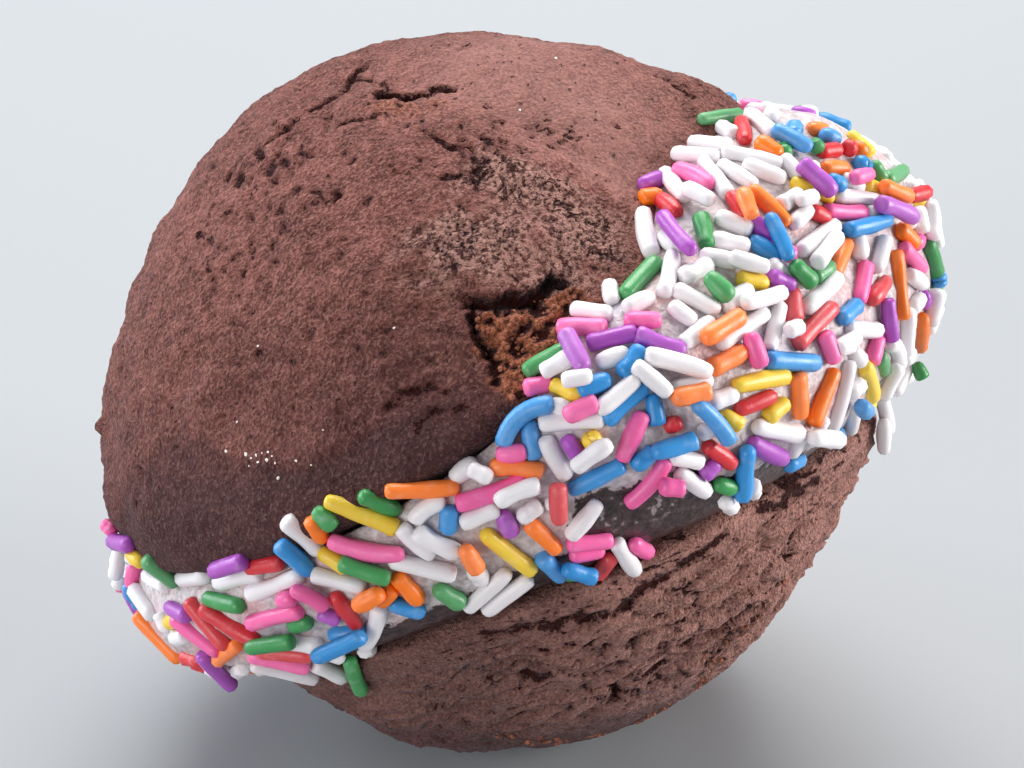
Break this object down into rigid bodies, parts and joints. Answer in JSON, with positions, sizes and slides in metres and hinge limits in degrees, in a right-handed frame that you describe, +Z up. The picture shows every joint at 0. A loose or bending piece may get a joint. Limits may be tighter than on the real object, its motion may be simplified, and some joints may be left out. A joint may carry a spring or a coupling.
{
  "type": "whoopie pie",
  "caption": "Whoopie pie: two soft chocolate cakes round a thick cream filling whose bulging edge is set with sugar sprinkles, lying tipped on its lower cake.",
  "frame": {"origin": "on the surface that the pie rests on, under the middle of its box", "axes": "+Z up, the pie seen from its front along +Y, +X to the viewer's right"},
  "size_m": [0.0724, 0.0729, 0.0629],
  "materials": {
    "top_cake": null,
    "filling": null,
    "bottom_cake": null
  },
  "bodies": {
    "root": {"top_cake": "top_cake", "filling": "filling", "bottom_cake": "bottom_cake"}
  },
  "joints": []
}
